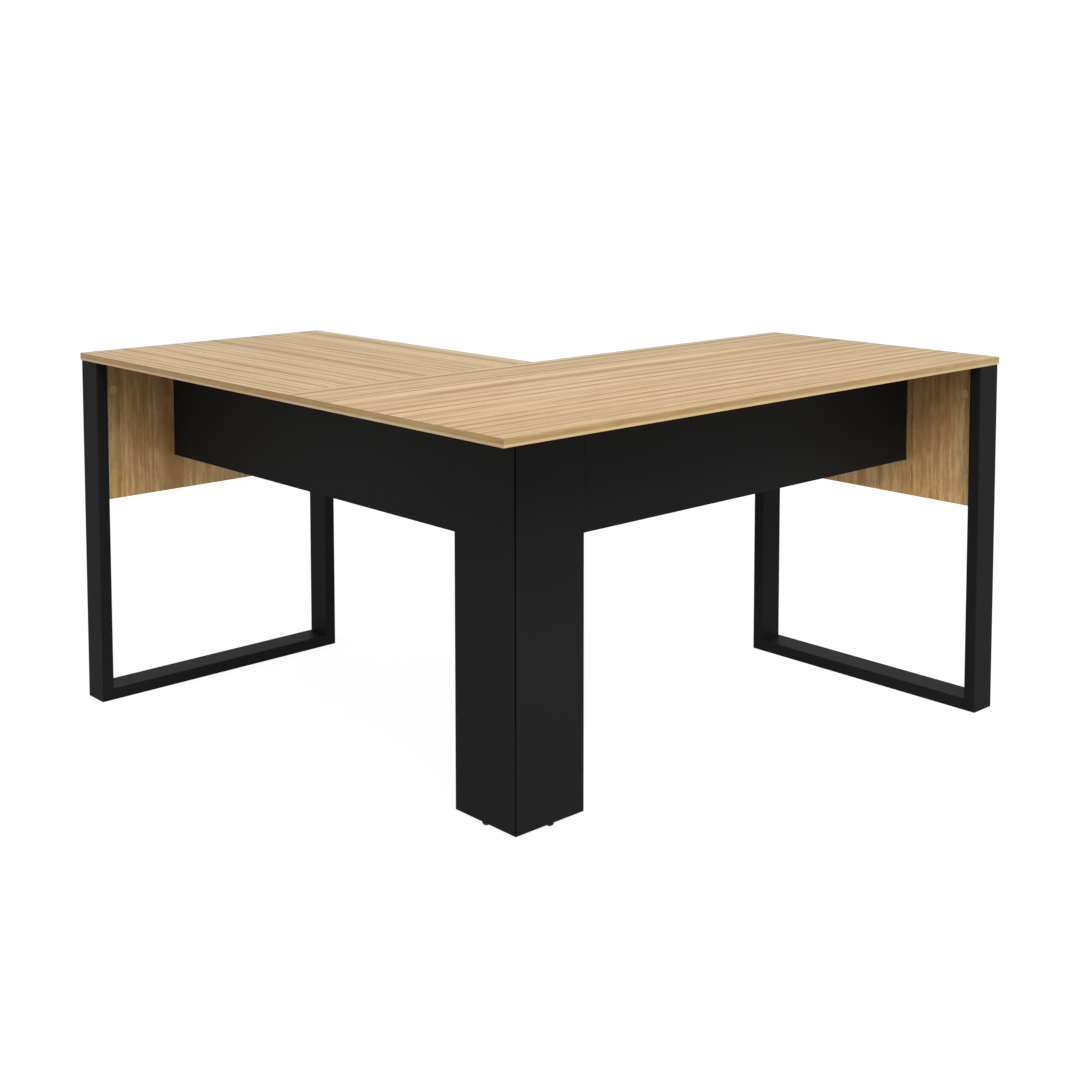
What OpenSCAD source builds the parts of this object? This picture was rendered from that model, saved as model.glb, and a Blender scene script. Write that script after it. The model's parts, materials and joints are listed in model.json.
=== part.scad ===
// L-shaped corner desk: two laminated worktops on an angle-section corner leg, two aprons,
// and at each far end an open U-frame of rectangular steel tube closed at the top by a board.
// The origin is on the floor, under the centre of the desk's outline. +X runs along the main
// arm, +Y along the return arm, and the outer corner of the L is at -X -Y.

/* [Overall size] */
// Length of the main arm along X, corner included
main_len = 1360; // [1200:10:1800]
// Length of the return arm along Y, corner included
return_len = 1360; // [1260:10:1800]
// Depth of each worktop
top_depth = 600; // [500:10:700]
// Height of the work surface above the floor
desk_h = 740; // [700:5:780]

/* [Boards] */
// Thickness of every board
board_t = 15; // [15:1:18]
// Thickness of the edge bands
band_t = 1; // [0.5:0.5:2]
// Height of the aprons under the worktops
apron_h = 220; // [210:5:260]
// Height of the end panels inside the U-frames
panel_h = 295; // [270:5:400]

/* [Corner leg] */
// Distance from the worktops' outer edges to the aprons and the corner leg
setback = 188; // [150:1:220]
// Width of each of the two leg boards
leg_w = 160; // [120:5:200]
// Width of the shadow groove on the leg's outer corner
groove_w = 2.8; // [1:0.1:4]
// Height of the floor glides under the leg
glide_h = 6; // [4:1:10]
// Diameter of the floor glides
glide_d = 14.5; // [12:0.5:15]

/* [U-frames] */
// Width of the frame tube, along the arm
tube_w = 64; // [50:1:80]
// Thickness of the frame tube, seen in the plane of the U
tube_t = 25; // [20:1:30]
// Wall thickness of the frame tube
tube_wall = 1.5; // [1.2:0.1:2]
// Outside radius of the tube's long edges
tube_r = 2; // [1.6:0.1:3]
// Distance from the worktop's edges to the frame's outer faces
frame_inset = 2; // [0:1:20]
// Recess of the end panel behind the frame's inner side
panel_recess = 12; // [5:1:30]

/* [Hidden] */

$fn = 48;
eps = 0.01;
past = 1;              // how far a cutter runs past the surface that it cuts
fit = 0.05;            // radial clearance between a fastener and its hole
tip_gap = 0.5;         // free depth past the tip of a screw, nail or dowel

oak = [0.80, 0.68, 0.52];
oak_edge = [0.66, 0.54, 0.38];
black = [0.13, 0.13, 0.13];
frame_black = [0.17, 0.17, 0.17];
plastic_black = [0.09, 0.09, 0.09];
cap_tan = [0.78, 0.58, 0.43];
beech = [0.84, 0.72, 0.55];
zinc = [0.70, 0.71, 0.73];

// Levels and planes. An arm lies along +X of its own frame, whose origin is the outer corner.
top_z = desk_h - board_t;                        // underside of the worktops
inner_face = setback + board_t;                  // inner face of the leg boards and aprons
board_mid = setback + board_t / 2;
leg_end = setback + leg_w;                       // where the leg board stops and the apron starts
function frame_start(len) = len - frame_inset - tube_w;
function panel_face(len) = frame_start(len) + panel_recess;
function panel_mid(len) = panel_face(len) + board_t / 2;
post_outer_y = frame_inset;
post_inner_y = top_depth - frame_inset - tube_t;
panel_y0 = post_outer_y + tube_t;
panel_y1 = post_inner_y;

// Cam joints, in the 32 mm hole system. A cam sits on the board's middle plane.
cam_edge = 24;         // cam centre to the joined edge
post_cam_edge = 18;    // the same for the cams next to a frame post
cam_r = 7.4;
cam_floor = 4.4;       // cam body below the board's middle plane
cam_bore_r = 7.5;
cam_bore_floor = 4.5;
cam_top_gap = 0.6;     // cam body below the board's face
cam_slot_r = 3.7;      // side hole that takes the bolt's head
cam_slot_start = -0.5;
cam_recess = [9, 1.8, 2.2];
bolt_bore_r = 4;
head_r = 3.4;
head_len = 3;
head_start = 0.6;
neck_r = 1.9;
neck_end = 8.2;
shank_r = 3.6;
pilot_r = 2.5;
pilot_depth = 11;
thread_len = 10.5;
m6_r = 3;
m6_clearance = 0.3;
nut_r = 5.8;           // across the corners of the hexagon, halved
nut_len = 5;
bolt_past_nut = 2;
cap_r = 9;
cap_t = 0.7;
apron_rows = [top_z - 64, top_z - 160];
panel_rows = [top_z - 62, top_z - 222];
dowel_rows = [top_z - 112, top_z - 192];
top_row = top_z - cam_edge;
apron_top_inset = 96;  // end of an apron to its first joint with the worktop
panel_top_spread = 80; // the same joints of an end panel, either side of its middle

dowel_r = 4;
dowel_len = 30;
face_dowel_depth = 10; // depth of an apron dowel in the end panel's face
least_inner_r = 0.3;   // inside radius of the frame tube's long edges, at least
seam_dowel_x = [0.07, 0.42, 0.67, 0.93] * top_depth;

// Sheet-metal parts and their screws
plate_l = 100;
plate_w = 60;
plate_t = 2;
plate_hole_y = 32;
plate_hole_x = 18;
plate_x = [0.17, 0.83] * top_depth;
bracket_w = 25;
bracket_h = 30;
bracket_t = 2;
bracket_hole = 15;
bracket_hole_z = 8;
bracket_z = [90, 350, 610];
screw_r = 1.5;
screw_clearance = 0.4; // in the brackets' holes
screw_head_r = 3.4;
screw_head_h = 2.2;
screw_head_taper = 0.9;
screw_len = 12;
screw_recess = [3.6, 0.8, 1.2];
nail_r = 1.1;
nail_head_r = 3.5;
nail_head_h = 1;
nail_head_z = 1.5;     // underside of the head, moulded into the glide
nail_depth = 16;       // in the leg board

// Post plugs
plug_head = 2;
spigot_h = 14;
spigot_wall = 2;
spigot_r = 1;

// A fixing is [cam centre, direction out of the board's face, direction of the bolt,
// distance from the cam's centre to the joined edge].
function apron_end_fixings(len) = [
    for (z = apron_rows) each [
        [[leg_end + cam_edge, board_mid, z], [0, 1, 0], [-1, 0, 0], cam_edge],
        [[panel_face(len) - cam_edge, board_mid, z], [0, 1, 0], [1, 0, 0], cam_edge]
    ]
];
function apron_top_x(len) = [
    leg_end + apron_top_inset,
    (leg_end + panel_face(len)) / 2,
    panel_face(len) - apron_top_inset
];
function apron_top_fixings(len) = [
    for (x = apron_top_x(len)) [[x, board_mid, top_row], [0, 1, 0], [0, 0, 1], cam_edge]
];
leg_fixings = [[[setback + leg_w / 2, board_mid, top_row], [0, 1, 0], [0, 0, 1], cam_edge]];
function panel_post_fixings(len) = [
    for (z = panel_rows) each [
        [[panel_mid(len), panel_y0 + post_cam_edge, z], [-1, 0, 0], [0, -1, 0], post_cam_edge],
        [[panel_mid(len), panel_y1 - post_cam_edge, z], [-1, 0, 0], [0, 1, 0], post_cam_edge]
    ]
];
function panel_top_fixings(len) = [
    for (side = [-1, 1])
        [[panel_mid(len), top_depth / 2 + side * panel_top_spread, top_row],
         [-1, 0, 0], [0, 0, 1], cam_edge]
];
function apron_fixings(len) = concat(apron_end_fixings(len), apron_top_fixings(len));
function panel_fixings(len) = concat(panel_post_fixings(len), panel_top_fixings(len));
function top_fixings(len) = concat(apron_top_fixings(len), leg_fixings, panel_top_fixings(len));

// ---- Frames of reference ----

module main_arm() {
    translate([-main_len / 2, -return_len / 2, 0]) children();
}

// The return arm is the main arm mirrored in the diagonal of the corner.
module return_arm() {
    main_arm() mirror([1, -1, 0]) children();
}

// Puts +Z out of the board's face and +X along the bolt.
module at_fixing(f) {
    side = cross(f[1], f[2]);
    multmatrix([
        [f[2].x, side.x, f[1].x, f[0].x],
        [f[2].y, side.y, f[1].y, f[0].y],
        [f[2].z, side.z, f[1].z, f[0].z],
        [0, 0, 0, 1]
    ]) children();
}

module along_x(r, from, to) {
    translate([from, 0, 0]) rotate([0, 90, 0]) cylinder(r = r, h = to - from);
}

// ---- Holes ----

module cam_holes(fixings) {
    for (f = fixings) at_fixing(f) {
        translate([0, 0, -cam_bore_floor]) cylinder(r = cam_bore_r, h = cam_bore_floor + board_t);
        along_x(bolt_bore_r, 0, f[3] + eps);
    }
}

module bolt_pilots(fixings) {
    for (f = fixings) at_fixing(f) along_x(pilot_r, f[3] - eps, f[3] + pilot_depth);
}

// Dowel bores at both ends of an apron, in whatever board they run into
module apron_dowel_bores(len) {
    half = dowel_len / 2 + tip_gap;
    tip = panel_face(len) + face_dowel_depth;
    for (z = dowel_rows) translate([0, board_mid, z]) {
        along_x(dowel_r, leg_end - half, leg_end + half);
        along_x(dowel_r, tip - dowel_len - tip_gap, tip + tip_gap);
    }
}

module seam_dowel_bores() {
    for (x = seam_dowel_x) translate([x, top_depth, desk_h - board_t / 2])
        rotate([90, 0, 0]) cylinder(r = dowel_r, h = dowel_len + 2 * tip_gap, center = true);
}

module at_plate_screws() {
    for (x = plate_x, dx = [-1, 1], dy = [-1, 1])
        translate([x + dx * plate_hole_x, top_depth + dy * plate_hole_y, top_z - plate_t])
            rotate([180, 0, 0]) children();
}

module at_bracket_screws() {
    for (z = bracket_z, dz = [-1, 1])
        translate([inner_face + bracket_hole, inner_face + bracket_t, z + dz * bracket_hole_z])
            rotate([-90, 0, 0]) children();
}

module screw_pilots() {
    translate([0, 0, -screw_len - tip_gap]) cylinder(r = screw_r + fit, h = screw_len);
}

// ---- Worktops ----

module board(x, y, z) {
    translate([x[0], y[0], z[0]]) cube([x[1] - x[0], y[1] - y[0], z[1] - z[0]]);
}

module band_ring(x, y) {
    difference() {
        board(x, y, [top_z, desk_h]);
        board([x[0] + band_t, x[1] - band_t], [y[0] + band_t, y[1] - band_t],
              [top_z - past, desk_h + past]);
    }
}

module main_top() {
    color(oak) main_arm() difference() {
        board([band_t, main_len - band_t], [band_t, top_depth - band_t], [top_z, desk_h]);
        seam_dowel_bores();
        at_plate_screws() screw_pilots();
        bolt_pilots(top_fixings(main_len));
        mirror([1, -1, 0]) bolt_pilots([for (f = top_fixings(return_len)) if (f[0].x < top_depth) f]);
    }
}

module main_top_edge_band() {
    color(oak_edge) main_arm() difference() {
        band_ring([0, main_len], [0, top_depth]);
        seam_dowel_bores();
    }
}

module return_top() {
    color(oak) main_arm() difference() {
        board([band_t, top_depth - band_t], [top_depth + band_t, return_len - band_t], [top_z, desk_h]);
        seam_dowel_bores();
        at_plate_screws() screw_pilots();
        mirror([1, -1, 0]) bolt_pilots([for (f = top_fixings(return_len)) if (f[0].x > top_depth) f]);
    }
}

module return_top_edge_band() {
    color(oak_edge) main_arm() difference() {
        band_ring([0, top_depth], [top_depth, return_len]);
        seam_dowel_bores();
    }
}

module top_seam_dowels() {
    color(beech) main_arm()
        for (x = seam_dowel_x) translate([x, top_depth, desk_h - board_t / 2])
            rotate([90, 0, 0]) cylinder(r = dowel_r - fit, h = dowel_len, center = true);
}

module top_joining_plates() {
    color(zinc) main_arm() difference() {
        for (x = plate_x)
            board([x - plate_w / 2, x + plate_w / 2],
                  [top_depth - plate_l / 2, top_depth + plate_l / 2], [top_z - plate_t, top_z]);
        at_plate_screws() {
            translate([0, 0, -plate_t - past]) cylinder(r = screw_r + fit, h = plate_t + 2 * past);
            translate([0, 0, -plate_t])
                cylinder(r1 = screw_r + 2 * fit, r2 = screw_head_r + 2 * fit, h = plate_t + eps);
        }
    }
}

// Countersunk screw: +Z out of the head, whose flat is at z = 0
module countersunk_screw() {
    difference() {
        union() {
            translate([0, 0, -screw_len]) cylinder(r = screw_r, h = screw_len - plate_t);
            translate([0, 0, -plate_t]) cylinder(r1 = screw_r, r2 = screw_head_r, h = plate_t);
        }
        cross_recess(screw_recess);
    }
}

module joining_plate_screws() {
    color(zinc) main_arm() at_plate_screws() countersunk_screw();
}

// Cross-shaped driver recess, cut down from z = 0; its size is [length, width, depth]
module cross_recess(size) {
    for (a = [0, 90]) rotate(a)
        translate([-size.x / 2, -size.y / 2, -size.z]) cube([size.x, size.y, size.z + eps]);
}

// ---- Corner leg ----

module groove() {
    groove_depth = 8;
    closed_end = 4;     // length left uncut at the floor end
    translate([setback, setback, glide_h + closed_end]) rotate(45)
        translate([-groove_w, -groove_w / 2, 0]) cube([groove_depth + groove_w, groove_w, top_z]);
}

module leg_board() {
    difference() {
        translate([0, 0, glide_h]) linear_extrude(top_z - glide_h) polygon([
            [setback, setback], [leg_end - band_t, setback],
            [leg_end - band_t, inner_face], [inner_face, inner_face]
        ]);
        groove();
        cam_holes(leg_fixings);
        bolt_pilots(apron_end_fixings(main_len));
        apron_dowel_bores(main_len);
        at_bracket_screws() screw_pilots();
        at_glide() translate([0, 0, glide_h - eps])
            cylinder(r = nail_r + fit, h = nail_depth + tip_gap);
    }
}

module leg_edge_band() {
    difference() {
        board([leg_end - band_t, leg_end], [setback, inner_face], [glide_h, top_z]);
        bolt_pilots(apron_end_fixings(main_len));
        apron_dowel_bores(main_len);
    }
}

module main_leg_board() {
    color(black) main_arm() leg_board();
}

module return_leg_board() {
    color(black) return_arm() leg_board();
}

module main_leg_edge_band() {
    color(black) main_arm() leg_edge_band();
}

module return_leg_edge_band() {
    color(black) return_arm() leg_edge_band();
}

module both_arms() {
    main_arm() children();
    return_arm() children();
}

module leg_corner_brackets() {
    far = inner_face + bracket_w;
    color(zinc) main_arm() difference() {
        for (z = bracket_z) translate([0, 0, z - bracket_h / 2]) linear_extrude(bracket_h) polygon([
            [inner_face, inner_face], [far, inner_face], [far, inner_face + bracket_t],
            [inner_face + bracket_t, inner_face + bracket_t], [inner_face + bracket_t, far],
            [inner_face, far]
        ]);
        bracket_holes();
        mirror([1, -1, 0]) bracket_holes();
    }
}

module bracket_holes() {
    at_bracket_screws()
        cylinder(r = screw_r + screw_clearance, h = 3 * bracket_t, center = true);
}

// Pan-head screw: +Z out of the head, bearing face at z = 0
module pan_screw() {
    translate([0, 0, -screw_len]) cylinder(r = screw_r, h = screw_len);
    difference() {
        union() {
            cylinder(r = screw_head_r, h = screw_head_h / 2);
            translate([0, 0, screw_head_h / 2])
                cylinder(r1 = screw_head_r, r2 = screw_head_r - screw_head_taper,
                         h = screw_head_h / 2);
        }
        translate([0, 0, screw_head_h]) cross_recess(screw_recess);
    }
}

module corner_bracket_screws() {
    color(zinc) both_arms() at_bracket_screws() pan_screw();
}

// Floor glide under a leg board, a little outward from its middle
module at_glide() {
    outward = 5.5;
    translate([setback + leg_w / 2 + outward, board_mid, 0]) children();
}

module leg_glides() {
    chamfer = 2.5;
    color(plastic_black) both_arms() at_glide() difference() {
        union() {
            cylinder(r1 = glide_d / 2 - chamfer, r2 = glide_d / 2, h = chamfer);
            translate([0, 0, chamfer]) cylinder(d = glide_d, h = glide_h - chamfer);
        }
        translate([0, 0, nail_head_z - fit])
            cylinder(r = nail_head_r + fit, h = nail_head_h + 2 * fit);
        translate([0, 0, nail_head_z]) cylinder(r = nail_r + fit, h = glide_h);
    }
}

module glide_nails() {
    color(zinc) both_arms() at_glide() {
        translate([0, 0, nail_head_z]) {
            cylinder(r = nail_head_r, h = nail_head_h);
            cylinder(r = nail_r, h = glide_h + nail_depth - nail_head_z);
        }
    }
}

// ---- Aprons ----

module apron_board(len) {
    difference() {
        board([leg_end, panel_face(len)], [setback, inner_face], [top_z - apron_h + band_t, top_z]);
        cam_holes(apron_fixings(len));
        apron_dowel_bores(len);
    }
}

module apron_edge_band(len) {
    board([leg_end, panel_face(len)], [setback, inner_face],
          [top_z - apron_h, top_z - apron_h + band_t]);
}

// The main apron has an eased front edge where it meets the leg.
module main_apron() {
    ease = 1.8;        // side of the square that cuts the edge away
    color(black) main_arm() difference() {
        apron_board(main_len);
        translate([leg_end, setback, top_z]) rotate(45)
            cube([ease, ease, 3 * apron_h], center = true);
    }
}

module return_apron() {
    color(black) return_arm() apron_board(return_len);
}

module main_apron_edge_band() {
    color(black) main_arm() apron_edge_band(main_len);
}

module return_apron_edge_band() {
    color(black) return_arm() apron_edge_band(return_len);
}

module dowels_of(len) {
    tip = panel_face(len) + face_dowel_depth;
    for (z = dowel_rows) translate([0, board_mid, z]) {
        along_x(dowel_r - fit, leg_end - dowel_len / 2, leg_end + dowel_len / 2);
        along_x(dowel_r - fit, tip - dowel_len, tip);
    }
}

module apron_dowels() {
    color(beech) main_arm() dowels_of(main_len);
    color(beech) return_arm() dowels_of(return_len);
}

// ---- End panels ----

module end_panel(len) {
    difference() {
        board([panel_face(len), panel_face(len) + board_t], [panel_y0, panel_y1],
              [top_z - panel_h + band_t, top_z]);
        cam_holes(panel_fixings(len));
        bolt_pilots(apron_end_fixings(len));
        apron_dowel_bores(len);
    }
}

module panel_edge_band(len) {
    board([panel_face(len), panel_face(len) + board_t], [panel_y0, panel_y1],
          [top_z - panel_h, top_z - panel_h + band_t]);
}

module main_end_panel() {
    color(oak) main_arm() end_panel(main_len);
}

module return_end_panel() {
    color(oak) return_arm() end_panel(return_len);
}

module main_panel_edge_band() {
    color(oak_edge) main_arm() panel_edge_band(main_len);
}

module return_panel_edge_band() {
    color(oak_edge) return_arm() panel_edge_band(return_len);
}

// ---- U-frames ----

// Rectangle with true arcs at its corners, centred on the origin
module rounded_rect(w, h, r) {
    square([w - 2 * r, h], center = true);
    square([w, h - 2 * r], center = true);
    for (x = [-1, 1], y = [-1, 1])
        translate([x * (w / 2 - r), y * (h / 2 - r)]) circle(r = r);
}

module tube(len) {
    linear_extrude(len) difference() {
        rounded_rect(tube_w, tube_t, tube_r);
        rounded_rect(tube_w - 2 * tube_wall, tube_t - 2 * tube_wall,
                     max(tube_r - tube_wall, least_inner_r));
    }
}

// Everything above the 45 degree plane that rises inwards from the foot of the outer post
module above_mitre(len) {
    reach = 2 * desk_h;
    translate([frame_start(len) - past, post_outer_y, 0]) rotate([45, 0, 0])
        translate([0, -reach, 0]) cube([tube_w + 2 * past, 2 * reach, reach]);
}

module swap_posts() {
    translate([0, top_depth, 0]) mirror([0, 1, 0]) children();
}

module outer_post(len) {
    difference() {
        intersection() {
            translate([frame_start(len) + tube_w / 2, post_outer_y + tube_t / 2, 0])
                tube(top_z - plug_head);
            above_mitre(len);
        }
        for (f = panel_post_fixings(len)) at_fixing(f)
            along_x(m6_r + m6_clearance, f[3] - past, f[3] + tube_t / 2);
    }
}

module floor_bar(len) {
    difference() {
        translate([frame_start(len) + tube_w / 2, post_outer_y, tube_t / 2])
            rotate([-90, 0, 0]) tube(top_depth - 2 * frame_inset);
        above_mitre(len);
        swap_posts() above_mitre(len);
    }
}

module main_frame_outer_post() {
    color(frame_black) main_arm() outer_post(main_len);
}

module main_frame_inner_post() {
    color(frame_black) main_arm() swap_posts() outer_post(main_len);
}

module main_frame_floor_bar() {
    color(frame_black) main_arm() floor_bar(main_len);
}

module return_frame_outer_post() {
    color(frame_black) return_arm() outer_post(return_len);
}

module return_frame_inner_post() {
    color(frame_black) return_arm() swap_posts() outer_post(return_len);
}

module return_frame_floor_bar() {
    color(frame_black) return_arm() floor_bar(return_len);
}

// Plug that closes the open top of a post: a flat head on a hollow spigot
module post_plug(len) {
    spigot_w = tube_w - 2 * tube_wall - 2 * fit;
    spigot_t = tube_t - 2 * tube_wall - 2 * fit;
    translate([frame_start(len) + tube_w / 2, post_outer_y + tube_t / 2, top_z - plug_head]) {
        linear_extrude(plug_head) rounded_rect(tube_w, tube_t, tube_r);
        translate([0, 0, -spigot_h]) linear_extrude(spigot_h) difference() {
            rounded_rect(spigot_w, spigot_t, spigot_r);
            square([spigot_w - 2 * spigot_wall, spigot_t - 2 * spigot_wall], center = true);
        }
    }
}

module frame_plugs(len) {
    post_plug(len);
    swap_posts() post_plug(len);
}

module post_end_caps() {
    color(plastic_black) main_arm() frame_plugs(main_len);
    color(plastic_black) return_arm() frame_plugs(return_len);
}

module weld_nuts(len) {
    for (f = panel_post_fixings(len)) at_fixing(f) translate([f[3] + tube_wall, 0, 0])
        rotate([0, 90, 0]) difference() {
            cylinder(r = nut_r, h = nut_len, $fn = 6);
            translate([0, 0, -past]) cylinder(r = m6_r, h = nut_len + 2 * past);
        }
}

module post_weld_nuts() {
    color(zinc) main_arm() weld_nuts(main_len);
    color(zinc) return_arm() weld_nuts(return_len);
}

// ---- Cam joints ----

// Cast cam: a disc with a side hole that takes the bolt's head, and a driver recess on top
module cam() {
    top = board_t / 2 - cam_top_gap;
    difference() {
        translate([0, 0, -cam_floor]) cylinder(r = cam_r, h = cam_floor + top);
        along_x(cam_slot_r, cam_slot_start, cam_r + past);
        translate([0, 0, top]) cross_recess(cam_recess);
    }
}

// Bolt from the cam's slot, across the joined edge, into the other piece
module cam_bolts(fixings, thread_r, thread_l) {
    for (f = fixings) at_fixing(f) {
        along_x(head_r, head_start, head_start + head_len);
        along_x(neck_r, head_start + head_len - eps, neck_end + eps);
        along_x(shank_r, neck_end, f[3] - fit);
        along_x(thread_r, f[3] - 2 * fit, f[3] + thread_l);
    }
}

module cam_cap() {
    translate([0, 0, board_t / 2]) cylinder(r = cap_r, h = cap_t);
    translate([0, 0, board_t / 2 - cam_top_gap + fit])
        cylinder(r = cam_bore_r - 2 * fit, h = cam_top_gap);
}

module at_fixings(fixings) {
    for (f = fixings) at_fixing(f) children();
}

module apron_cams() {
    color(zinc) main_arm() at_fixings(apron_fixings(main_len)) cam();
    color(zinc) return_arm() at_fixings(apron_fixings(return_len)) cam();
}

module leg_cams() {
    color(zinc) both_arms() at_fixings(leg_fixings) cam();
}

module panel_cams() {
    color(zinc) main_arm() at_fixings(panel_fixings(main_len)) cam();
    color(zinc) return_arm() at_fixings(panel_fixings(return_len)) cam();
}

// Bolts that screw into another board
module board_bolts(len) {
    fixings = concat(apron_fixings(len), leg_fixings, panel_top_fixings(len));
    cam_bolts(fixings, pilot_r - fit, thread_len);
}

module board_cam_bolts() {
    color(zinc) main_arm() board_bolts(main_len);
    color(zinc) return_arm() board_bolts(return_len);
}

// Bolts that screw into the nuts inside the frame posts
module post_bolts(len) {
    cam_bolts(panel_post_fixings(len), m6_r - fit, tube_wall + nut_len + bolt_past_nut);
}

module frame_cam_bolts() {
    color(zinc) main_arm() post_bolts(main_len);
    color(zinc) return_arm() post_bolts(return_len);
}

module apron_cam_caps() {
    color(plastic_black) main_arm() at_fixings(concat(apron_fixings(main_len), leg_fixings)) cam_cap();
    color(plastic_black) return_arm() at_fixings(concat(apron_fixings(return_len), leg_fixings)) cam_cap();
}

module panel_cam_caps() {
    color(cap_tan) main_arm() at_fixings(panel_fixings(main_len)) cam_cap();
    color(cap_tan) return_arm() at_fixings(panel_fixings(return_len)) cam_cap();
}

main_top();
main_top_edge_band();
return_top();
return_top_edge_band();
top_seam_dowels();
top_joining_plates();
joining_plate_screws();
main_leg_board();
return_leg_board();
main_leg_edge_band();
return_leg_edge_band();
leg_corner_brackets();
corner_bracket_screws();
leg_glides();
glide_nails();
main_apron();
return_apron();
main_apron_edge_band();
return_apron_edge_band();
apron_dowels();
main_end_panel();
return_end_panel();
main_panel_edge_band();
return_panel_edge_band();
main_frame_outer_post();
main_frame_inner_post();
main_frame_floor_bar();
return_frame_outer_post();
return_frame_inner_post();
return_frame_floor_bar();
post_end_caps();
post_weld_nuts();
apron_cams();
leg_cams();
panel_cams();
board_cam_bolts();
frame_cam_bolts();
apron_cam_caps();
panel_cam_caps();
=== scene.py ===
import json
import math

import bpy
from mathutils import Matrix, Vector

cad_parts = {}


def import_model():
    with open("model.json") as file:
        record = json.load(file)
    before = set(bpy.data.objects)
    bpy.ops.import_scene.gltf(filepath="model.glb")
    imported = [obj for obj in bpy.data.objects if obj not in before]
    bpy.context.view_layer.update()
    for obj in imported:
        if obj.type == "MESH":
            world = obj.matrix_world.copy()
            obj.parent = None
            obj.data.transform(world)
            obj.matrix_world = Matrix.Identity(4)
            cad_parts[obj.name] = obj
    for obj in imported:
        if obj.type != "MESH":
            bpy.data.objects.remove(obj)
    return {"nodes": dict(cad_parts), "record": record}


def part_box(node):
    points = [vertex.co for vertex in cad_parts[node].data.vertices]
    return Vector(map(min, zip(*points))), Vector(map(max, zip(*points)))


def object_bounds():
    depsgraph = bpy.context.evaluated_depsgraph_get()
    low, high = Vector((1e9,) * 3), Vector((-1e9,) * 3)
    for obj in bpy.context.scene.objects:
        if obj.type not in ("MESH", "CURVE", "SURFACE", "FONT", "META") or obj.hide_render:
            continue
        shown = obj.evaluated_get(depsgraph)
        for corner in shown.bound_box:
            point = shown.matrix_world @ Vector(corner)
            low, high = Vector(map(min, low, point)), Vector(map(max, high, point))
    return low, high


# The looks of the L-shaped corner desk. Everything is in metres, in the CAD model's frame:
# +X along the main arm, +Y along the return arm, +Z up, the floor at z = 0.

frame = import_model()
cad_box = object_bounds()
CAD = frame["nodes"]
SLOT_OF = {row["node"]: row["material_slot"] for row in frame["record"]["subparts"]}
MM = 0.001
X, Y, Z = 0, 1, 2


# ---------------------------------------------------------------- shader nodes

class Shader:
    """A material whose nodes are added by short calls. An input is a socket or a plain value."""

    def __init__(self, name):
        self.material = bpy.data.materials.new(name)
        self.material.use_nodes = True
        self.tree = self.material.node_tree
        self.bsdf = self.tree.nodes["Principled BSDF"]

    def add(self, kind, inputs=None, **settings):
        node = self.tree.nodes.new(kind)
        for key, value in settings.items():
            setattr(node, key, value)
        for key, value in (inputs or {}).items():
            self.feed(node.inputs[key], value)
        return node

    def feed(self, socket, value):
        if isinstance(value, bpy.types.NodeSocket):
            self.tree.links.new(value, socket)
        else:
            socket.default_value = value

    def math(self, operation, a, b=0.0, c=0.0, clamp=False):
        inputs = {0: a, 1: b, 2: c}
        return self.add("ShaderNodeMath", inputs, operation=operation, use_clamp=clamp).outputs[0]

    def position(self):
        return self.add("ShaderNodeTexCoord").outputs["Object"]

    def axes(self, vector):
        node = self.add("ShaderNodeSeparateXYZ", {0: vector})
        return [node.outputs[i] for i in range(3)]

    def normal_axes(self):
        return self.axes(self.add("ShaderNodeNewGeometry").outputs["Normal"])

    def vector(self, x, y, z):
        return self.add("ShaderNodeCombineXYZ", {0: x, 1: y, 2: z}).outputs[0]

    def stretch(self, axes, scales):
        """A vector of the three axes, each times its own scale."""
        return self.vector(*[self.math("MULTIPLY", axis, scale) for axis, scale in zip(axes, scales)])

    def noise(self, vector, scale=1.0, detail=2.0, rough=0.5):
        inputs = {"Vector": vector, "Scale": scale, "Detail": detail, "Roughness": rough}
        return self.add("ShaderNodeTexNoise", inputs).outputs["Fac"]

    def ramp(self, fac, low, high):
        """A smooth change between two stops, each a place and a colour."""
        node = self.add("ShaderNodeValToRGB", {"Fac": fac})
        node.color_ramp.interpolation = "EASE"
        for element, (place, colour) in zip(node.color_ramp.elements, (low, high)):
            element.position = place
            element.color = (*colour, 1.0)
        return node.outputs["Color"]

    def step(self, fac, start, end):
        """0 before start and 1 past end, with a smooth change between. It may run downward."""
        inputs = {"Value": fac, "From Min": start, "From Max": end}
        return self.add("ShaderNodeMapRange", inputs, interpolation_type="SMOOTHSTEP").outputs["Result"]

    def mix(self, fac, a, b, blend="MIX"):
        node = self.add("ShaderNodeMix", data_type="RGBA", blend_type=blend)
        self.feed(node.inputs["Factor"], fac)
        for key, value in (("A", a), ("B", b)):
            socket = [s for s in node.inputs if s.name == key and s.type == "RGBA"][0]
            self.feed(socket, value if isinstance(value, bpy.types.NodeSocket) else (*value, 1.0))
        return [s for s in node.outputs if s.type == "RGBA"][0]

    def bump(self, height, depth, strength):
        inputs = {"Height": height, "Distance": depth, "Strength": strength}
        return self.add("ShaderNodeBump", inputs).outputs["Normal"]

    def finish(self, **values):
        for key, value in values.items():
            socket = self.bsdf.inputs[key.replace("_", " ")]
            if isinstance(value, tuple) and len(value) == 3 and socket.type == "RGBA":
                value = (*value, 1.0)
            self.feed(socket, value)
        return self.material


# ---------------------------------------------------------------- materials

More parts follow.
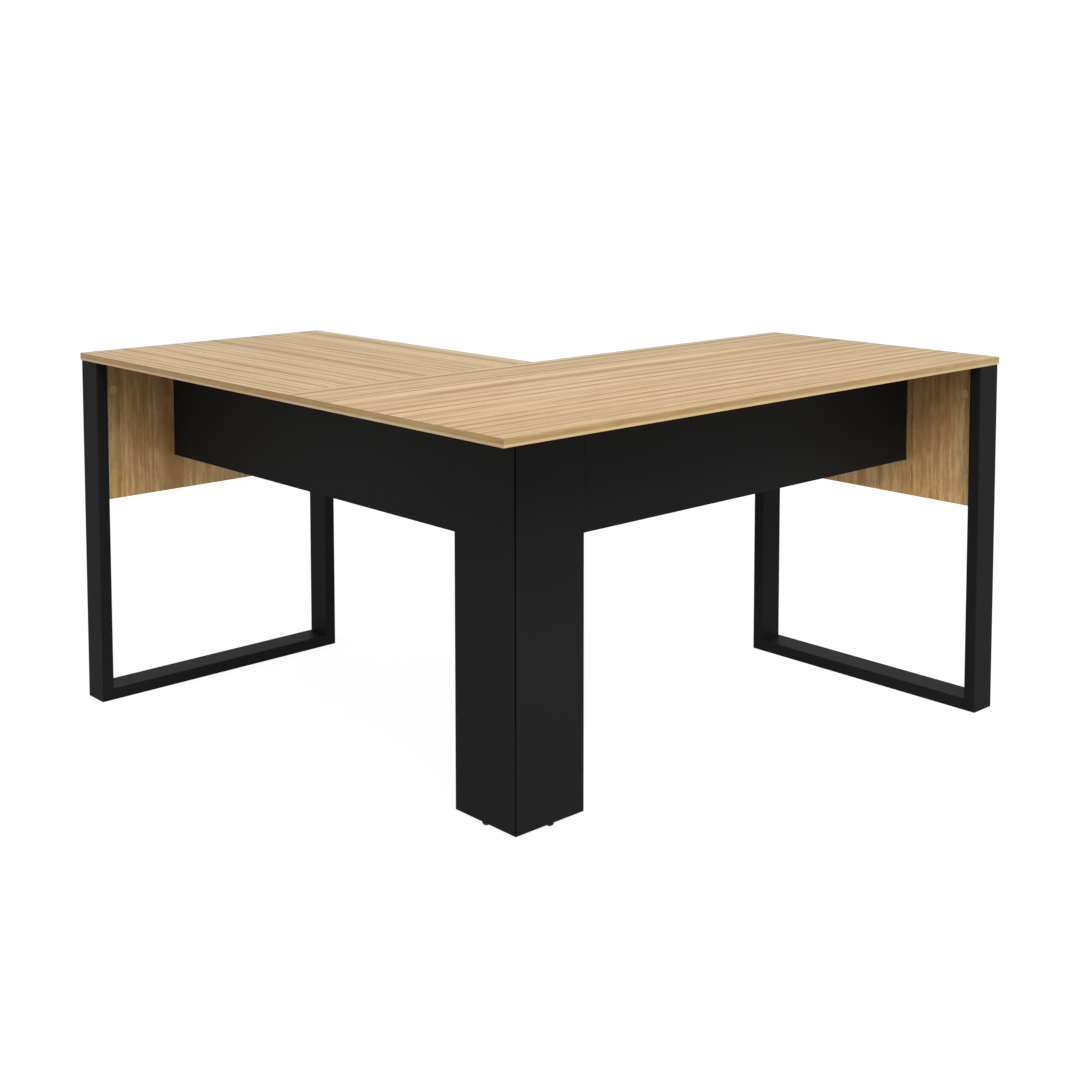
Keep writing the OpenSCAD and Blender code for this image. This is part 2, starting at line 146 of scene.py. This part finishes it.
def growth_rings(s, across, wander, per_metre, soft):
    """Dark latewood lines. Each ring darkens over the part of its width that soft gives, ends sharply,
    and has its own depth."""
    darkest, falling = 0.93, 0.95    # parts of the ring's width where its full depth starts and ends
    least_depth = 0.35
    phase = s.math("MULTIPLY_ADD", across, per_metre, wander)
    ring = s.math("FLOOR", phase)
    place = s.math("SUBTRACT", phase, ring)
    depth = s.add("ShaderNodeTexWhiteNoise", {"W": ring}, noise_dimensions="1D").outputs["Value"]
    rise = s.step(place, 1.0 - soft, darkest)
    drop = s.step(place, 1.0, falling)
    own_depth = s.math("MULTIPLY_ADD", depth, 1.0 - least_depth, least_depth)
    return s.math("MULTIPLY", s.math("MULTIPLY", rise, drop), own_depth)


class Grain:
    """How a piece of the oak decor looks. contrast is the depth of the growth lines, run is how fast
    they change along the board, per metre, fuzz is how ragged their edges are, patch is how often along
    the board they fade and return, per metre, and mottle is the depth of the short streaks between them.
    The last setting is painted shade, not a tone of the decor: how much paler the board is painted per
    metre of height; below zero the board is painted darker towards its top, under the worktop."""

    def __init__(self, contrast=2.3, run=0.07, fuzz=1.0, patch=3.5, mottle=0.12, painted_shade_slope=0.0):
        self.contrast, self.run, self.fuzz, self.patch = contrast, run, fuzz, patch
        self.mottle, self.painted_shade_slope = mottle, painted_shade_slope


TOP_GRAIN = Grain()
# The panels' last setting paints shade: they are painted darker towards their top, under the worktop.
PANEL_GRAIN = Grain(contrast=1.35, run=0.30, fuzz=2.6, patch=18.0, mottle=0.50, painted_shade_slope=-2.5)
EDGE_GRAIN = Grain(contrast=0.9, run=0.30, fuzz=2.0, patch=16.0, mottle=0.25)

# Tones of the light wood, the golden wood, the growth lines and the pores
WOOD = ((0.605, 0.438, 0.234), (0.545, 0.385, 0.184), (0.29, 0.157, 0.035), (0.17, 0.080, 0.020))
EDGE = ((0.490, 0.336, 0.152), (0.418, 0.272, 0.102), (0.26, 0.140, 0.040), (0.17, 0.088, 0.030))
# The pale tone mixed into the edge bands' lower rim: painted light from below.
EDGE_RIM_PAINTED_LIGHT = (0.72, 0.60, 0.40)
NO_TINT = (1.0, 1.0, 1.0)


# Tones times a factor; where the factor is not one, it paints shade.
def tinted(tones, shade_factor):
    return [tuple(c * t for c, t in zip(tone, shade_factor)) for tone in tones]


def wood_colour(s, along, across, through, tones, grain, seed):
    """Straight-grained oak laminate: growth lines 10 to 60 mm apart that sway a little along the board,
    with fine lines, short fibres and pores between them. Returns the colour and the height of the
    embossed grain."""
    light, golden, line, pore = tones

    def drawn_out(side, layer, per_metre_along, per_metre_across, detail, rough=0.5):
        """Noise drawn out along the board. side is the place across it, layer the third axis."""
        place = s.vector(s.math("MULTIPLY", along, per_metre_along),
                         s.math("MULTIPLY", side, per_metre_across), layer)
        return s.noise(place, detail=detail, rough=rough)

    sway = drawn_out(across, seed, 2.4, 9.0, 1.0)
    ripple = drawn_out(across, seed + 1.0, 15.0, 60.0, 2.0)
    fray = drawn_out(across, seed + 2.0, 80.0, 500.0, 2.0)
    bend = s.math("MULTIPLY_ADD", ripple, 3.5 * MM * grain.fuzz,
                  s.math("MULTIPLY", fray, 2.2 * MM * grain.fuzz))
    moved = s.math("MULTIPLY_ADD", sway, 10.0 * MM, s.math("ADD", across, bend))
    depth = s.math("MULTIPLY", s.math("ADD", through, seed), 3.0)

    def stretched(*settings):
        return drawn_out(moved, depth, *settings)

    wander = s.math("MULTIPLY_ADD", stretched(grain.run, 8.0, 1.0), 4.0, seed * 10.0)
    wide_rings = growth_rings(s, moved, wander, 20.0, 0.36)
    close_rings = growth_rings(s, moved, s.math("MULTIPLY", wander, 2.7), 62.0, 0.60)
    strength = s.math("MULTIPLY_ADD", s.step(stretched(grain.patch, 26.0, 3.0), 0.25, 0.62), 0.65, 0.35)
    bands = stretched(0.4, 24.0, 1.0)
    fine = stretched(1.5, 150.0, 3.0, 0.6)
    mottle = stretched(22.0, 130.0, 3.0, 0.6)
    fibres = stretched(18.0, 640.0, 2.0, 0.6)
    pores = stretched(60.0, 1500.0, 1.0)
    cloud = stretched(1.4, 5.0, 2.0)

    colour = s.mix(s.step(cloud, 0.35, 0.65), light, golden)
    colour = s.mix(s.math("MULTIPLY", s.step(bands, 0.40, 0.68), 0.12), colour, line)
    lines = s.math("MAXIMUM", wide_rings, s.math("MULTIPLY", close_rings, 0.6))
    colour = s.mix(s.math("MULTIPLY", s.math("MULTIPLY", lines, strength), grain.contrast, clamp=True),
                   colour, line)
    fine_mask = s.step(fine, 0.40, 0.70)
    colour = s.mix(s.math("MULTIPLY", fine_mask, 0.40), colour, line)
    colour = s.mix(s.math("MULTIPLY", s.step(mottle, 0.40, 0.66), grain.mottle), colour, line)
    colour = s.mix(s.math("MULTIPLY", s.step(fibres, 0.42, 0.72), 0.25), colour, line)
    pore_mask = s.step(pores, 0.60, 0.70)
    colour = s.mix(s.math("MULTIPLY", pore_mask, 0.22), colour, pore)
    height = s.math("SUBTRACT", s.math("MULTIPLY", fine_mask, -0.6), pore_mask)
    return colour, height


def wood_laminate(name, grain_axis, across_axis, seed, grain=TOP_GRAIN, shade_factor=NO_TINT, level=0.0):
    """Oak laminate with its grain along one axis. Its tones are multiplied by the given factor, which
    paints shade on the end panels, and the grain's painted height shade is nothing at the height of
    level.
    """
    s = Shader(name)
    axes = s.axes(s.position())
    through_axis = ({X, Y, Z} - {grain_axis, across_axis}).pop()
    colour, height = wood_colour(s, axes[grain_axis], axes[across_axis], axes[through_axis],
                                 tinted(WOOD, shade_factor), grain, seed)
    # Painted shade: the colour is scaled with height, so the end panels are painted darker towards their
    # top, under the worktop.
    if grain.painted_shade_slope:
        above = s.math("SUBTRACT", axes[Z], level)
        painted_shade_gain = s.math("MULTIPLY_ADD", above, grain.painted_shade_slope, 1.0)
        colour = s.mix(1.0, colour, s.vector(painted_shade_gain, painted_shade_gain, painted_shade_gain), "MULTIPLY")
    return s.finish(Base_Color=colour, Roughness=s.math("MULTIPLY_ADD", height, -0.05, 0.44),
                    Normal=s.bump(height, 0.06 * MM, 0.3))


def wood_edge(name, seed, low, high, shade_factor=NO_TINT):
    """Edge band between two heights: its grain follows the edge, and its lower rim is painted a little
    paler, as painted light from below.
    """
    s = Shader(name)
    tones = tinted(EDGE, shade_factor)
    line = tones[2]
    x, y, z = s.axes(s.position())
    faces_x = s.math("GREATER_THAN", s.math("ABSOLUTE", s.normal_axes()[X]), 0.7)
    along = s.math("ADD", s.math("MULTIPLY", y, faces_x),
                   s.math("MULTIPLY", x, s.math("SUBTRACT", 1.0, faces_x)))
    colour, height = wood_colour(s, along, s.math("MULTIPLY", z, 5.0), s.math("MULTIPLY", faces_x, 3.7),
                                 tones, EDGE_GRAIN, seed)
    patches = s.noise(s.stretch((along, z, faces_x), (20.0, 200.0, 1.0)))
    colour = s.mix(s.math("MULTIPLY", s.step(patches, 0.35, 0.68), 0.36), colour, line)
    # Painted light: the lower rim of the band is painted paler, as light from below.
    painted_light_rim = s.step(s.step(z, low, high), 0.36, 0.12)
    colour = s.mix(painted_light_rim, colour, s.mix(0.36, colour, EDGE_RIM_PAINTED_LIGHT))
    return s.finish(Base_Color=colour, Roughness=0.46, Normal=s.bump(height, 0.05 * MM, 0.3))


def fine_speckle(s, place, base, spread, size):
    """Base colour that varies a little over the surface, in cells of the given size."""
    near = s.noise(place, scale=1.0 / size, detail=3.0)
    wide = s.noise(place, scale=2.3, detail=2.0)
    fac = s.math("MULTIPLY_ADD", wide, 0.6, s.math("MULTIPLY", near, 0.4))
    dark = tuple(c * (1 - spread) for c in base)
    pale = tuple(c * (1 + spread) for c in base)
    return s.mix(s.step(fac, 0.3, 0.7), dark, pale), near


def satin(s, place, grain_axis):
    """The sheen of black melamine: smudged, with a very fine embossed grain along one axis."""
    scales = [2200.0] * 3
    scales[grain_axis] = 90.0
    pores = s.step(s.noise(s.stretch(s.axes(place), scales)), 0.45, 0.7)
    smudge = s.noise(place, scale=5.0, detail=3.0)
    return {"Roughness": s.math("MULTIPLY_ADD", smudge, 0.10, 0.46), "Specular_IOR_Level": 0.06,
            "Normal": s.bump(pores, 0.03 * MM, 0.3)}


def black_laminate(name, grain_axis):
    """Satin black melamine."""
    s = Shader(name)
    place = s.position()
    colour, _ = fine_speckle(s, place, (0.0102, 0.0102, 0.0098), 0.12, 3 * MM)
    return s.finish(Base_Color=colour, **satin(s, place, grain_axis))


def leg_laminate(name):
    """Satin black melamine with the raw particle board showing on the boards' underside."""
    s = Shader(name)
    place = s.position()
    colour, _ = fine_speckle(s, place, (0.0108, 0.0108, 0.0105), 0.12, 3 * MM)
    chips = s.add("ShaderNodeTexVoronoi", {"Vector": place, "Scale": 520.0}).outputs["Color"]
    chip_tone = s.ramp(s.noise(chips, scale=3.0), (0.2, (0.16, 0.10, 0.055)), (0.8, (0.42, 0.31, 0.19)))
    down = s.math("LESS_THAN", s.normal_axes()[Z], -0.8)
    return s.finish(Base_Color=s.mix(down, colour, chip_tone), **satin(s, place, Z))


def powder_coat(name):
    """Satin black powder coat with a faint orange peel."""
    s = Shader(name)
    place = s.position()
    colour, _ = fine_speckle(s, place, (0.0102, 0.0102, 0.0102), 0.10, 4 * MM)
    peel = s.noise(place, scale=1400.0, detail=2.0)
    wave = s.noise(place, scale=9.0, detail=2.0)
    rough = s.math("MULTIPLY_ADD", wave, 0.12, 0.44)
    return s.finish(Base_Color=colour, Roughness=rough, Specular_IOR_Level=0.05,
                    Normal=s.bump(peel, 0.02 * MM, 0.35))


def plastic(name, base, rough):
    """Moulded plastic with a spark-eroded texture."""
    s = Shader(name)
    place = s.position()
    colour, _ = fine_speckle(s, place, base, 0.08, 2 * MM)
    spark = s.noise(place, scale=2600.0, detail=2.0)
    return s.finish(Base_Color=colour, Roughness=s.math("MULTIPLY_ADD", spark, 0.12, rough - 0.06),
                    Specular_IOR_Level=0.3, Normal=s.bump(spark, 0.02 * MM, 0.4))


def metal(name, base, rough, mottle):
    """Zinc: plated steel or a casting, with a mottled tone and fine scratches."""
    s = Shader(name)
    place = s.position()
    colour, near = fine_speckle(s, place, base, mottle, 1.5 * MM)
    scratches = s.noise(s.stretch(s.axes(place), (300.0, 4000.0, 4000.0)))
    roughness = s.math("MULTIPLY_ADD", near, 0.16, rough - 0.08)
    return s.finish(Base_Color=colour, Metallic=1.0, Roughness=roughness,
                    Normal=s.bump(scratches, 0.01 * MM, 0.3))


def beech(name):
    """Flecked beech, for the dowels."""
    s = Shader(name)
    place = s.position()
    flecks = s.noise(place, scale=900.0, detail=3.0)
    colour = s.ramp(flecks, (0.35, (0.38, 0.25, 0.14)), (0.65, (0.52, 0.38, 0.23)))
    return s.finish(Base_Color=colour, Roughness=0.6, Normal=s.bump(flecks, 0.05 * MM, 0.4))


def z_range(name):
    low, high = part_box(name)
    return low.z, high.z


def nodes_of(material_slot):
    return [name for name in CAD if SLOT_OF[name] == material_slot]


def dress(material, *names):
    for name in names:
        for slot in CAD[name].material_slots:
            slot.material = material


# Painted shade: the end panels under the worktop and the return arm's edge band get darker, more golden
# copies of the oak tones than the tops and the main edge band.
MAIN_PANEL_PAINTED_SHADE = (0.860, 0.765, 0.655)
RETURN_PANEL_PAINTED_SHADE = (0.880, 0.815, 0.750)
RETURN_EDGE_PAINTED_SHADE = (0.98, 0.93, 0.84)
panel_level = sum(z_range("main_end_panel")) / 2
dress(wood_laminate("main_top_wood", X, Y, 3.1), "main_top")
dress(wood_laminate("return_top_wood", Y, X, 11.9), "return_top")
dress(wood_laminate("main_panel_wood_painted_shade", Z, Y, 14.0, PANEL_GRAIN, MAIN_PANEL_PAINTED_SHADE, panel_level),
      "main_end_panel")
dress(wood_laminate("return_panel_wood_painted_shade", Z, X, 40.9, PANEL_GRAIN, RETURN_PANEL_PAINTED_SHADE, panel_level),
      "return_end_panel")
dress(wood_edge("top_edge_wood", 5.2, *z_range("main_top_edge_band")), "main_top_edge_band")
dress(wood_edge("return_edge_wood_painted_shade", 9.4, *z_range("return_top_edge_band"), shade_factor=RETURN_EDGE_PAINTED_SHADE),
      "return_top_edge_band")
dress(wood_edge("panel_edge_wood", 2.6, *z_range("main_panel_edge_band")),
      "main_panel_edge_band", "return_panel_edge_band")
dress(leg_laminate("leg_black"), "main_leg_board", "return_leg_board")
dress(black_laminate("upright_black", Z), "main_leg_edge_band", "return_leg_edge_band")
dress(black_laminate("main_apron_black", X), "main_apron", "main_apron_edge_band")
dress(black_laminate("return_apron_black", Y), "return_apron", "return_apron_edge_band")
dress(powder_coat("frame_black"), *nodes_of("frame_paint"))
dress(plastic("black_moulding", (0.013, 0.013, 0.013), 0.5), *nodes_of("black_plastic"))
dress(plastic("cap_moulding", (0.424, 0.238, 0.116), 0.5), *nodes_of("cap_plastic"))
dress(metal("zinc_plate", (0.56, 0.57, 0.60), 0.34, 0.08), *nodes_of("zinc_steel"))
dress(metal("cast_zinc", (0.47, 0.48, 0.49), 0.5, 0.15), *nodes_of("cast_zinc"))
dress(beech("beech_dowel"), *nodes_of("beech"))


# ---------------------------------------------------------------- eased edges

def ease(name, width):
    """Rounds the edges that join the outermost corners of a board, and leaves its bores alone."""
    piece = CAD[name]
    low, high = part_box(name)
    close = 0.05 * MM
    corners = [v.index for v in piece.data.vertices
               if all(min(abs(v.co[i] - low[i]), abs(v.co[i] - high[i])) < close for i in range(3))]
    group = piece.vertex_groups.new(name="outer_corners")
    group.add(corners, 1.0, "REPLACE")
    weld = piece.modifiers.new("weld", "WELD")
    weld.merge_threshold = 0.001 * MM
    bevel = piece.modifiers.new("ease", "BEVEL")
    bevel.limit_method = "VGROUP"
    bevel.vertex_group = group.name
    bevel.width = width
    bevel.segments = 3
    bevel.harden_normals = True
    piece.modifiers.new("even_shading", "WEIGHTED_NORMAL").keep_sharp = True


for band in ("main_top_edge_band", "return_top_edge_band"):
    ease(band, 0.8 * MM)
for arm in ("main", "return"):
    for board in ("end_panel", "panel_edge_band", "apron_edge_band"):
        ease(f"{arm}_{board}", 0.3 * MM)


# ---------------------------------------------------------------- studio

def floor():
    """A wide pale floor that glows like a light table. It glows more to the eye, so it looks white."""
    glow, more_when_seen = 0.48, 0.44
    tone, tone_when_seen = (0.20, 0.20, 0.20), (0.12, 0.12, 0.12)
    half = 40.0
    s = Shader("studio_floor")
    seen = s.add("ShaderNodeLightPath").outputs["Is Camera Ray"]
    paper = s.finish(Base_Color=s.mix(seen, tone, tone_when_seen), Roughness=1.0,
                     Specular_IOR_Level=0.0, Emission_Color=(1.0, 1.0, 1.0),
                     Emission_Strength=s.math("MULTIPLY_ADD", seen, more_when_seen, glow))
    mesh = bpy.data.meshes.new("studio_floor")
    corners = [(-half, -half, 0), (half, -half, 0), (half, half, 0), (-half, half, 0)]
    mesh.from_pydata(corners, [], [(0, 1, 2, 3)])
    mesh.materials.append(paper)
    plane = bpy.data.objects.new("studio_floor", mesh)
    bpy.context.scene.collection.objects.link(plane)


def world():
    """Soft light from all round. The backdrop is brighter to the eye than to the desk: it looks white."""
    light = 0.81
    studio = bpy.data.worlds.new("studio")
    studio.use_nodes = True
    tree = studio.node_tree
    background = tree.nodes["Background"]
    background.inputs["Color"].default_value = (1.0, 1.0, 1.0, 1.0)
    seen = tree.nodes.new("ShaderNodeLightPath").outputs["Is Camera Ray"]
    level = tree.nodes.new("ShaderNodeMath")
    level.operation = "MAXIMUM"
    level.inputs[1].default_value = light
    tree.links.new(seen, level.inputs[0])
    tree.links.new(level.outputs[0], background.inputs["Strength"])
    bpy.context.scene.world = studio
    bpy.context.scene.view_settings.view_transform = "Standard"


def key_light():
    """A large soft box in front of the desk's corner and above."""
    low, high = cad_box
    distance = 8.0
    data = bpy.data.lights.new("key", "AREA")
    data.shape = "SQUARE"
    data.size = 4.3
    data.energy = 500.0
    lamp = bpy.data.objects.new("key", data)
    towards = Vector((-0.24, -0.63, 0.74)).normalized()
    lamp.location = (low + high) / 2 + distance * towards
    lamp.rotation_euler = towards.to_track_quat("Z", "Y").to_euler()
    bpy.context.scene.collection.objects.link(lamp)


def camera():
    """The photograph's viewpoint, outside the corner and a little above. The lens shift moves the desk
    up in the frame and leaves its uprights close to parallel."""
    tilt_down = 4.42
    turn_right = 42.99
    data = bpy.data.cameras.new("camera")
    data.sensor_width = 36.0
    data.lens = 54.22
    data.shift_x = -0.0162
    data.shift_y = -0.2532
    cam = bpy.data.objects.new("camera", data)
    cam.location = (-2.2678, -2.5010, 1.1858)
    cam.rotation_euler = (math.radians(90.0 - tilt_down), 0.0, math.radians(-turn_right))
    bpy.context.scene.collection.objects.link(cam)
    bpy.context.scene.camera = cam


floor()
world()
key_light()
camera()
